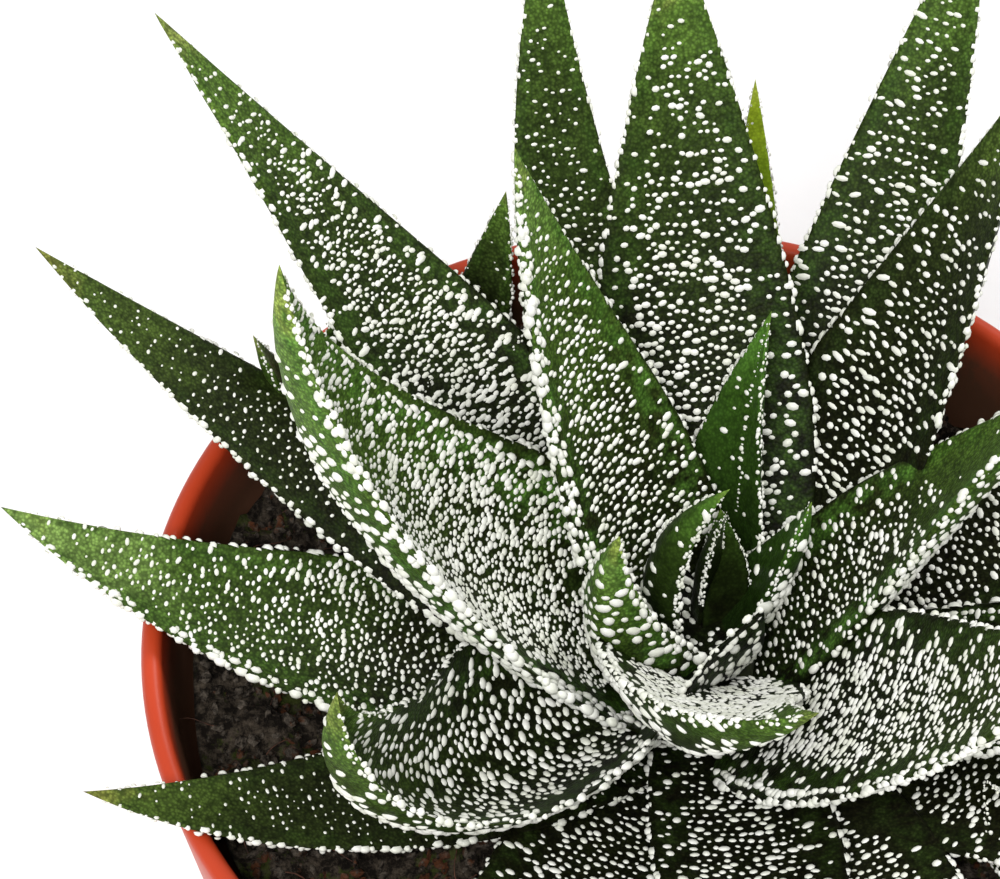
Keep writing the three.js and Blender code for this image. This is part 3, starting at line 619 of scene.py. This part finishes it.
def wartTree():
    # grows warts over a skin, and a row of them along each loose edge
    tree = newTree("wartsOnBlade", {
        "Spacing above": "NodeSocketFloat", "Spacing below": "NodeSocketFloat",
        "Longest above": "NodeSocketFloat", "Longest below": "NodeSocketFloat",
        "Row pitch": "NodeSocketFloat", "Sides above": "NodeSocketInt", "Sides below": "NodeSocketInt",
        "Seed": "NodeSocketInt", "Wart material": "NodeSocketMaterial"})
    given = addNode(tree, "NodeGroupInput").outputs
    values = {"given pitch": given["Row pitch"], "seed above": given["Seed"]}
    for name in ("rail", "face", "wartDensity", "wartSize", "wartWay", "rowFacing"):
        kind = "FLOAT_VECTOR" if name in ("wartWay", "rowFacing") else "FLOAT"
        values[name] = addNode(tree, "GeometryNodeInputNamedAttribute", {"data_type": kind}, {
            "Name": name}).outputs[0]
    # random numbers: the least, the most and the seed
    drift = warts["rowDrift"]
    for name, low, high, seed in (
            ("grade", 0.0, 1.0, 21), ("row grade", 0.65, 1.4, 31), ("row stretch", 1.0, 1.9, 32),
            ("stretch above", 1.05, given["Longest above"], 22),
            ("stretch below", 1.05, given["Longest below"], 22),
            ("row slide", -drift, drift, 33), ("row chance", 0.0, 1.0, 35)):
        values[name] = addNode(tree, "FunctionNodeRandomValue", {"data_type": "FLOAT"}, {
            2: low, 3: high, 8: seed}).outputs[1]
    # random steps aside, for the way that a wart points and for the place of one in a row
    for name, reach, seed in (("turn", warts["turnStray"], 7), ("stray", warts["rowStray"] * mm, 34)):
        values[name] = addNode(tree, "FunctionNodeRandomValue", {"data_type": "FLOAT_VECTOR"}, {
            0: (-reach,) * 3, 1: (reach,) * 3, 8: seed}).outputs[0]
    # workings, each on what stands before it. Small warts are commoner than large ones, and those of a
    # row that another leaf hides have no size.
    for name, operation, a, b in (
            ("on rail", "GREATER_THAN", "rail", 0.5),
            ("on above", "GREATER_THAN", "face", 0.0), ("on below", "LESS_THAN", "face", 0.0),
            ("seed below", "ADD", "seed above", 100),
            ("skewed", "POWER", "grade", 1.5), ("spread", "MULTIPLY", "skewed", 0.85),
            ("factor", "ADD", "spread", 0.6), ("width", "MULTIPLY", "wartSize", "factor"),
            ("height", "MULTIPLY", "width", warts["height"]),
            ("length above", "MULTIPLY", "width", "stretch above"),
            ("length below", "MULTIPLY", "width", "stretch below"),
            ("row width", "MULTIPLY", "wartSize", "row grade"),
            ("row height", "MULTIPLY", "row width", warts["rowHeight"]),
            ("row length", "MULTIPLY", "row width", "row stretch"),
            ("row drift", "MULTIPLY", "row slide", "given pitch"),
            ("in sight", "GREATER_THAN", "wartSize", 0.05 * mm),
            ("present", "GREATER_THAN", "row chance", warts["rowGaps"]),
            ("shown", "MULTIPLY", "in sight", "present")):
        values[name] = addNode(tree, "ShaderNodeMath", {"operation": operation}, {
            0: values.get(a, a), 1: values.get(b, b)}).outputs[0]

    def bead(sides):
        # the wart itself: the upper part of a ball of few faces, its foot sunk a little into the skin
        ball = addNode(tree, "GeometryNodeMeshUVSphere", {}, {"Segments": sides, "Rings": 4, "Radius": 1.0})
        place = addNode(tree, "GeometryNodeInputPosition")
        height = addNode(tree, "ShaderNodeSeparateXYZ", {}, {0: place.outputs[0]})
        low = addNode(tree, "ShaderNodeMath", {"operation": "LESS_THAN"}, {0: height.outputs["Z"], 1: -0.3})
        dome = addNode(tree, "GeometryNodeDeleteGeometry", {"domain": "POINT"}, {
            "Geometry": ball.outputs["Mesh"], "Selection": low.outputs[0]})
        return addNode(tree, "GeometryNodeTransform", {}, {
            "Geometry": dome.outputs[0], "Translation": (0, 0, -warts["sunk"])}).outputs[0]

    split = addNode(tree, "GeometryNodeSeparateGeometry", {"domain": "EDGE"}, {
        "Geometry": given["Geometry"], "Selection": values["on rail"]})
    skin, rails = split.outputs["Inverted"], split.outputs["Selection"]
    way = addNode(tree, "ShaderNodeVectorMath", {"operation": "ADD"}, {
        0: values["wartWay"], 1: values["turn"]})
    grown = []
    for face in ("above", "below"):
        points = addNode(tree, "GeometryNodeDistributePointsOnFaces", {"distribute_method": "POISSON"}, {
            "Mesh": skin, "Selection": values["on " + face], "Distance Min": given["Spacing " + face],
            "Density Max": 9.0e6, "Density Factor": values["wartDensity"], "Seed": values["seed " + face]})
        turned = addNode(tree, "FunctionNodeAlignRotationToVector", {"axis": "X", "pivot_axis": "Z"}, {
            "Rotation": points.outputs["Rotation"], "Vector": way.outputs[0]})
        scale = addNode(tree, "ShaderNodeCombineXYZ", {}, {
            0: values["length " + face], 1: values["width"], 2: values["height"]})
        grown.append(addNode(tree, "GeometryNodeInstanceOnPoints", {}, {
            "Points": points.outputs["Points"], "Instance": bead(given["Sides " + face]),
            "Rotation": turned.outputs[0], "Scale": scale.outputs[0]}))

    line = addNode(tree, "GeometryNodeMeshToCurve", {}, {"Mesh": rails})
    beads = addNode(tree, "GeometryNodeResampleCurve", {"mode": "LENGTH"}, {
        "Curve": line.outputs[0], "Length": given["Row pitch"]})
    points = addNode(tree, "GeometryNodeCurveToPoints", {"mode": "EVALUATED"}, {"Curve": beads.outputs[0]})
    forward = addNode(tree, "ShaderNodeVectorMath", {"operation": "SCALE"}, {
        0: values["wartWay"], "Scale": values["row drift"]})
    step = addNode(tree, "ShaderNodeVectorMath", {"operation": "ADD"}, {
        0: forward.outputs[0], 1: values["stray"]})
    moved = addNode(tree, "GeometryNodeSetPosition", {}, {
        "Geometry": points.outputs["Points"], "Offset": step.outputs[0]})
    upright = addNode(tree, "FunctionNodeAlignRotationToVector", {"axis": "Z"}, {
        "Vector": values["rowFacing"]})
    lying = addNode(tree, "FunctionNodeAlignRotationToVector", {"axis": "X", "pivot_axis": "Z"}, {
        "Rotation": upright.outputs[0], "Vector": values["wartWay"]})
    scale = addNode(tree, "ShaderNodeCombineXYZ", {}, {
        0: values["row length"], 1: values["row width"], 2: values["row height"]})
    grown.append(addNode(tree, "GeometryNodeInstanceOnPoints", {}, {
        "Points": moved.outputs[0], "Selection": values["shown"], "Instance": bead(given["Sides below"]),
        "Rotation": lying.outputs[0], "Scale": scale.outputs[0]}))

    joined = addNode(tree, "GeometryNodeJoinGeometry")
    for instances in grown:
        tree.links.new(instances.outputs[0], joined.inputs[0])
    real = addNode(tree, "GeometryNodeRealizeInstances", {}, {"Geometry": joined.outputs[0]})
    smooth = addNode(tree, "GeometryNodeSetShadeSmooth", {}, {"Geometry": real.outputs[0]})
    painted = addNode(tree, "GeometryNodeSetMaterial", {}, {
        "Geometry": smooth.outputs[0], "Material": given["Wart material"]})
    whole = addNode(tree, "GeometryNodeJoinGeometry")
    tree.links.new(painted.outputs[0], whole.inputs[0])
    tree.links.new(skin, whole.inputs[0])
    addNode(tree, "NodeGroupOutput", {}, {"Geometry": whole.outputs[0]})
    return tree


def offsetSpecs(plan):
    # the small leaves of one offset
    specs = []
    for i in range(offset["leafCount"]):
        size = (plan["length"] * (1 - offset["shrink"] * i), plan["width"], offset["thick"])
        base = (offset["out"], soilHeight + offset["stemAbove"] - 1)
        bearing = plan["turn"] + i * offset["turn"]
        specs.append(leafSpec(size, bearing, offset["rise"], base, x=plan["x"], y=plan["y"],
                              heel=offset["heel"], wartShare=0.2, backShare=0.2, wartSize=0.6,
                              rowSize=(0.6, 0.6), rowPitch=0.7))
    return specs


growing = wartTree()


def growWarts(piece, spec, seed):
    growWith(piece, growing, {
        "Spacing above": warts["spacingAbove"] * spec["wartSpacing"] * mm,
        "Spacing below": warts["spacingBelow"] * (0.9 if spec["showsBack"] else 1.15) * mm,
        "Row pitch": warts["rowPitch"] * spec["rowPitch"] * (0.5 + 0.5 * max(spec["rowSize"])) * mm,
        "Longest above": spec["wartStretch"], "Longest below": spec["backStretch"],
        "Sides above": 7, "Sides below": 8 if spec["showsBack"] else 6,
        "Seed": seed, "Wart material": white})


def triangleCount(piece):
    return sum(len(face.vertices) - 2 for face in piece.data.polygons)


# by leaf number: the buds in the middle are dark, the leaves that face the light have the bright skin of
# painted light, and those in shadow the darker skin of painted shade
skins = dict.fromkeys(range(1, len(leaves) + 1), oldSkin)
for skin, numbers in ((budSkin, (1, 2, 3)), (youngSkin, (4, 6)), (brightSkin, (5, 8, 9, 10)),
                      (paleTipSkin, (25,)), (shadedSkin, (14, 15, 18, 20, 21, 22, 23, 26))):
    skins.update(dict.fromkeys(numbers, skin))
# the offsets' skins; the fourth has the bright copy, painted light
offsetSkins = [oldSkin, oldSkin, shootSkin, brightSkin]
triangles = 0
offsetLeaves = [spec for plan in offsets for spec in offsetSpecs(plan)]
for number, spec in enumerate(leaves, 1):
    rows, columns = blade["faces"] if spec["length"] >= blade["shortBelow"] else blade["shortFaces"]
    mesh = bladeMesh(f"leafSkin{number:02d}", [spec], leaves + offsetLeaves, skins[number], rows, columns)
    piece = addPiece(f"leaf{number:02d}", mesh)
    growWarts(piece, spec, warts["seed"] + number)
    triangles += triangleCount(piece)
    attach(piece, "root")
    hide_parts(f"leaf_{number:02d}")
    print("leaf", number, triangleCount(piece), "triangles")
print("leaves grown:", triangles, "triangles")

for number, plan in enumerate(offsets, 1):
    specs = offsetSpecs(plan)
    mesh = bladeMesh(f"offsetSkin{number}", specs, leaves, offsetSkins[number - 1], *offset["faces"])
    piece = addPiece(f"offset{number}", mesh)
    growWarts(piece, specs[0], warts["seed"] + 40 + number)
    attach(piece, "root")
    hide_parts(f"offset_{number}")
    triangles += triangleCount(piece)
print("offsets grown, with the leaves:", triangles, "triangles")


# Pot: one turned profile with a rounded lip, and drain holes through its floor

pot = {
    "height": 80, "rimRadius": 45, "footRadius": 31, "wall": 1.8, "collarHeight": 13,
    "collarFlare": 1.8, "collarStep": 2.2, "stepOutside": 0.6, "stepInside": 1.6,
    "footBevel": 1, "floorBevel": 1.5, "drainHoles": 6, "drainRadius": 3, "drainRing": 20,
    "sides": 180, "lipSteps": 8, "sharpFrom": 40,
    "unshadedLip": 0.8, "shadeFade": 3.5,   # how far down the painted shade begins, and over what depth it deepens
}


def potProfile():
    wall, foot, rim, height = (pot[key] for key in ("wall", "footRadius", "rimRadius", "height"))
    bodyTop = height - pot["collarHeight"]
    collar = rim - pot["collarFlare"]
    body = collar - pot["collarStep"]
    lip = wall / 2
    turns = [math.radians(180 * i / pot["lipSteps"]) for i in range(pot["lipSteps"] + 1)]
    return [
        (0, 0), (foot - pot["footBevel"], 0), (foot - 0.3, 0.3), (foot, pot["footBevel"]),
        (body, bodyTop - pot["stepOutside"]), (body + 0.2, bodyTop - 0.2),
        (collar - 0.3, bodyTop), (collar, bodyTop + 0.3),
        *[(rim - lip + lip * math.cos(t), height - lip + lip * math.sin(t)) for t in turns],
        *[(rim - wall - 0.5 * i, height - lip - 3 * i) for i in (1, 2)],
        (collar - wall, bodyTop + pot["stepInside"] / 2), (body - wall, bodyTop - pot["stepInside"]),
        (foot - wall, wall + pot["floorBevel"]), (foot - wall - pot["floorBevel"], wall), (0, wall)]


def turnedMesh(name, profile, sides, materials):
    # a profile of (radius, height) turned about Z, its ends on the axis
    angles = np.linspace(0, 2 * math.pi, sides, endpoint=False)
    body = profile[1:-1]
    vertices = [(r * math.cos(a), r * math.sin(a), z) for r, z in body for a in angles]
    bottom, top = len(vertices), len(vertices) + 1
    vertices += [(0, 0, profile[0][1]), (0, 0, profile[-1][1])]
    faces = []
    for ring in range(len(body) - 1):
        for i in range(sides):
            j = (i + 1) % sides
            faces.append((ring * sides + i, ring * sides + j, (ring + 1) * sides + j, (ring + 1) * sides + i))
    last = (len(body) - 1) * sides
    for i in range(sides):
        j = (i + 1) % sides
        faces.append((bottom, j, i))
        faces.append((top, last + i, last + j))
    return meshFrom(name, vertices, faces, materials)


def paintedShadeAt(point):
    # how strong the painted shade is: none outside, and more from the lip down inside
    bodyTop = pot["height"] - pot["collarHeight"]
    collarFoot = pot["rimRadius"] - pot["collarFlare"]
    outside = np.interp(point.z, [0, bodyTop - 0.1, bodyTop, pot["height"]],
                        [pot["footRadius"], collarFoot - pot["collarStep"], collarFoot, pot["rimRadius"]])
    inside = math.hypot(point.x, point.y) < outside - 0.6 * pot["wall"] and point.z > pot["wall"] / 2
    return max(0, min(1, (pot["height"] - pot["unshadedLip"] - point.z) / pot["shadeFade"])) if inside else 0


def makePot():
    piece = addPiece("potShell", turnedMesh("pot", potProfile(), pot["sides"], [terracotta]))
    holes = []
    for i in range(pot["drainHoles"]):
        angle = 2 * math.pi * i / pot["drainHoles"]
        x, y = pot["drainRing"] * math.cos(angle), pot["drainRing"] * math.sin(angle)
        ring = [(0, -4), (pot["drainRadius"], -4), (pot["drainRadius"], 6), (0, 6)]
        hole = addPiece(f"hole{i}", turnedMesh(f"hole{i}", ring, 32, [terracotta]))
        hole.data.transform(hole.matrix_world.Translation(Vector((x, y, 0)) * mm))
        cut = piece.modifiers.new(f"hole{i}", "BOOLEAN")
        cut.operation, cut.solver, cut.object = "DIFFERENCE", "EXACT", hole
        holes.append(hole)
    depsgraph = bpy.context.evaluated_depsgraph_get()
    mesh = bpy.data.meshes.new_from_object(piece.evaluated_get(depsgraph), depsgraph=depsgraph)
    piece.modifiers.clear()
    piece.data = mesh
    for hole in holes:
        bpy.data.objects.remove(hole)
    mesh.set_sharp_from_angle(angle=math.radians(pot["sharpFrom"]))
    # painted shade inside the pot, stored for its material
    setAttribute(mesh, "paintedShade", [paintedShadeAt(v.co / mm) for v in mesh.vertices])
    return piece


potPiece = makePot()
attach(potPiece, "root")
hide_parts("pot")
print("pot turned")


# Soil: a lumpy surface over a plain plug, with crumbs and dry fibres scattered on it

soil = {
    "dip": 5.5, "dipRadius": 24, "radius": 40.9, "floorRadius": 27.6, "bottom": 2.1,
    "shoulder": (38.9, 65),            # radius and height of the ring under its edge
    "lump": 0.9, "fineLump": 1.6, "finePitch": 4.2,
    "heap": 3.5, "heapBearing": 150,   # how high it is heaped against the wall, and where
    "rings": 80, "sides": 200,
    "crumbSpacing": 0.8, "crumbSize": 0.8, "fibreSpacing": 3.4, "fibreSize": (0.7, 1.7), "seed": 5,
}


def soilTop(x, y):
    away = min(1, math.hypot(x - stemX, y) / soil["dipRadius"])
    lump = math.sin(0.5 * x + 0.9 * y) * math.cos(0.7 * x - 0.4 * y)
    fine = noise.fractal(Vector((x, y, 3)) / soil["finePitch"], 0.9, 2.1, 5)
    height = soilHeight - soil["dip"] * (1 - away) + soil["lump"] * lump * away
    # heaped against the wall on the left, from two thirds of the radius outwards
    turn = math.cos(math.atan2(y, x) - math.radians(soil["heapBearing"]))
    heap = soil["heap"] * max(0, turn) * max(0, math.hypot(x, y) / soil["radius"] * 3 - 2)
    return height + soil["fineLump"] * fine + heap


def soilMesh():
    sides, rings = soil["sides"], soil["rings"]
    radii = [soil["radius"] * (i + 1) / rings for i in range(rings)]
    angles = np.linspace(0, 2 * math.pi, sides, endpoint=False)
    vertices = [(0, 0, soilTop(0, 0))]
    for radius in radii:
        for angle in angles:
            x, y = radius * math.cos(angle), radius * math.sin(angle)
            vertices.append((x, y, soilTop(x, y)))
    for radius, height in (soil["shoulder"], (soil["floorRadius"], soil["bottom"])):
        vertices += [(radius * math.cos(a), radius * math.sin(a), height) for a in angles]
    vertices.append((0, 0, soil["bottom"]))
    faces = [(0, 1 + i, 1 + (i + 1) % sides) for i in range(sides)]
    for ring in range(rings + 1):
        for i in range(sides):
            j = (i + 1) % sides
            a, b = 1 + ring * sides, 1 + (ring + 1) * sides
            faces.append((a + i, b + i, b + j, a + j))
    last = 1 + (rings + 1) * sides
    faces += [(last + sides, last + (i + 1) % sides, last + i) for i in range(sides)]
    mesh = meshFrom("soilSurface", vertices, faces, [peat, crumbPeat, dryFibre])
    # crumbs keep off the outermost rings, so that none stands in the pot's wall
    inward = 1 + sides * (rings - 2)
    setAttribute(mesh, "top", [1.0 if i < inward else 0.0 for i in range(len(vertices))])
    return mesh


def crumbTree():
    # scatters crumbs of peat, and a few bent fibres, over the top of the soil
    tree = newTree("crumbsOnSoil", {
        "Crumb spacing": "NodeSocketFloat", "Crumb size": "NodeSocketFloat", "Seed": "NodeSocketInt",
        "Crumb material": "NodeSocketMaterial", "Fibre material": "NodeSocketMaterial"})
    given = addNode(tree, "NodeGroupInput").outputs
    top = addNode(tree, "GeometryNodeInputNamedAttribute", {"data_type": "FLOAT"}, {"Name": "top"}).outputs[0]
    scatter = addNode(tree, "GeometryNodeDistributePointsOnFaces", {"distribute_method": "POISSON"}, {
        "Mesh": given["Geometry"], "Distance Min": given["Crumb spacing"], "Density Max": 1.2e6,
        "Density Factor": top, "Seed": given["Seed"]})
    crumb = addNode(tree, "GeometryNodeMeshIcoSphere", {}, {"Radius": 1.0, "Subdivisions": 1})
    place = addNode(tree, "GeometryNodeInputPosition")
    shape = addNode(tree, "ShaderNodeTexNoise", {}, {
        "Vector": place.outputs[0], "Scale": 1.6, "Detail": 2.0})
    push = addNode(tree, "ShaderNodeVectorMath", {"operation": "SUBTRACT"}, {
        0: shape.outputs["Color"], 1: (0.5, 0.5, 0.5)})
    pushed = addNode(tree, "ShaderNodeVectorMath", {"operation": "SCALE"}, {0: push.outputs[0], "Scale": 1.6})
    rough = addNode(tree, "GeometryNodeSetPosition", {}, {
        "Geometry": crumb.outputs["Mesh"], "Offset": pushed.outputs[0]})
    turn = addNode(tree, "FunctionNodeRandomValue", {"data_type": "FLOAT_VECTOR"}, {
        0: (0, 0, 0), 1: (6.28, 6.28, 6.28), 8: 3})
    stretch = addNode(tree, "FunctionNodeRandomValue", {"data_type": "FLOAT_VECTOR"}, {
        0: (0.2, 0.2, 0.15), 1: (1.3, 1.0, 0.7), 8: 4})
    scale = addNode(tree, "ShaderNodeVectorMath", {"operation": "SCALE"}, {
        0: stretch.outputs[0], "Scale": given["Crumb size"]})
    crumbs = addNode(tree, "GeometryNodeInstanceOnPoints", {}, {
        "Points": scatter.outputs["Points"], "Instance": rough.outputs[0],
        "Rotation": turn.outputs[0], "Scale": scale.outputs[0]})
    realCrumbs = addNode(tree, "GeometryNodeRealizeInstances", {}, {"Geometry": crumbs.outputs[0]})
    painted = addNode(tree, "GeometryNodeSetMaterial", {}, {
        "Geometry": realCrumbs.outputs[0], "Material": given["Crumb material"]})
    # fibres: short bent tubes of three sides
    bend = addNode(tree, "GeometryNodeCurvePrimitiveBezierSegment", {}, {
        "Resolution": 6, "Start": (0, 0, 0), "Start Handle": (1, 0.4, 0.8),
        "End Handle": (2, -0.5, 0.9), "End": (3, 0.3, 0.1)})
    ringShape = addNode(tree, "GeometryNodeCurvePrimitiveCircle", {"mode": "RADIUS"}, {
        "Resolution": 3, "Radius": 0.04})
    fibre = addNode(tree, "GeometryNodeCurveToMesh", {}, {
        "Curve": bend.outputs[0], "Profile Curve": ringShape.outputs[0], "Fill Caps": True})
    sparse = addNode(tree, "GeometryNodeDistributePointsOnFaces", {"distribute_method": "POISSON"}, {
        "Mesh": given["Geometry"], "Distance Min": soil["fibreSpacing"] * mm, "Density Max": 1.0e5,
        "Density Factor": top, "Seed": 9})
    fibreTurn = addNode(tree, "FunctionNodeRandomValue", {"data_type": "FLOAT_VECTOR"}, {
        0: (-0.4, -0.4, 0), 1: (0.4, 0.4, 6.28), 8: 5})
    shortest, longest = soil["fibreSize"]
    fibreSize = addNode(tree, "FunctionNodeRandomValue", {"data_type": "FLOAT"}, {
        2: shortest * mm, 3: longest * mm, 8: 6})
    fibres = addNode(tree, "GeometryNodeInstanceOnPoints", {}, {
        "Points": sparse.outputs["Points"], "Instance": fibre.outputs[0],
        "Rotation": fibreTurn.outputs[0], "Scale": fibreSize.outputs[1]})
    realFibres = addNode(tree, "GeometryNodeRealizeInstances", {}, {"Geometry": fibres.outputs[0]})
    paintedFibres = addNode(tree, "GeometryNodeSetMaterial", {}, {
        "Geometry": realFibres.outputs[0], "Material": given["Fibre material"]})
    whole = addNode(tree, "GeometryNodeJoinGeometry")
    for geometry in (painted.outputs[0], paintedFibres.outputs[0], given["Geometry"]):
        tree.links.new(geometry, whole.inputs[0])
    addNode(tree, "NodeGroupOutput", {}, {"Geometry": whole.outputs[0]})
    return tree


soilPiece = addPiece("soilBed", soilMesh())
growWith(soilPiece, crumbTree(), {
    "Crumb spacing": soil["crumbSpacing"] * mm, "Crumb size": soil["crumbSize"] * mm,
    "Seed": soil["seed"], "Crumb material": crumbPeat, "Fibre material": dryFibre})
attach(soilPiece, "root")
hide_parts("soil")
print("soil laid:", triangleCount(soilPiece), "triangles")

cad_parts["stem"].data.materials.clear()
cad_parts["stem"].data.materials.append(stemSkin)


# Studio: a pale floor, soft light from above and a camera at the photograph's viewing angle

camera = {
    "aim": (-14.5, 20.2, 80),   # the point in the middle of the picture
    "elevation": 52.63,         # degrees above the horizon
    "distance": 350,
    "focalLength": 143.1, "sensorWidth": 36,
}
# places, aim and widths of the lamps in metres
studio = {
    "floorHalf": 3000, "skyStrength": 0.5, "lampAim": (0, 0, 0.08),
    "lamps": {
        "key": {"place": (0.4, 0.45, 0.8), "watts": 3.2, "width": 0.3},
        "front": {"place": (-0.15, -0.55, 0.85), "watts": 7, "width": 0.35},
    },
}


def makeStudio():
    half = studio["floorHalf"]
    corners = [(-half, -half, 0), (half, -half, 0), (half, half, 0), (-half, half, 0)]
    floor = addPiece("floor", meshFrom("floor", corners, [(0, 1, 2, 3)], [palePaper]))
    world = bpy.data.worlds.new("studio")
    bpy.context.scene.world = world
    world.use_nodes = True
    background = world.node_tree.nodes["Background"]
    background.inputs["Color"].default_value = (1, 1, 1, 1)
    background.inputs["Strength"].default_value = studio["skyStrength"]
    for name, plan in studio["lamps"].items():
        light = bpy.data.lights.new(name, "AREA")
        light.energy, light.size = plan["watts"], plan["width"]
        lamp = addPiece(name, light)
        lamp.location = plan["place"]
        way = Vector(studio["lampAim"]) - Vector(plan["place"])
        lamp.rotation_euler = way.to_track_quat("-Z", "Y").to_euler()
    lens = bpy.data.cameras.new("camera")
    lens.lens, lens.sensor_width, lens.clip_start = camera["focalLength"], camera["sensorWidth"], 0.01
    view = addPiece("camera", lens)
    tilt = math.radians(camera["elevation"])
    toCamera = Vector((0, -math.cos(tilt), math.sin(tilt)))
    view.location = (Vector(camera["aim"]) + toCamera * camera["distance"]) * mm
    view.rotation_euler = (-toCamera).to_track_quat("-Z", "Y").to_euler()
    bpy.context.scene.camera = view
    bpy.context.scene.view_settings.view_transform = "Standard"


makeStudio()
print("studio set")
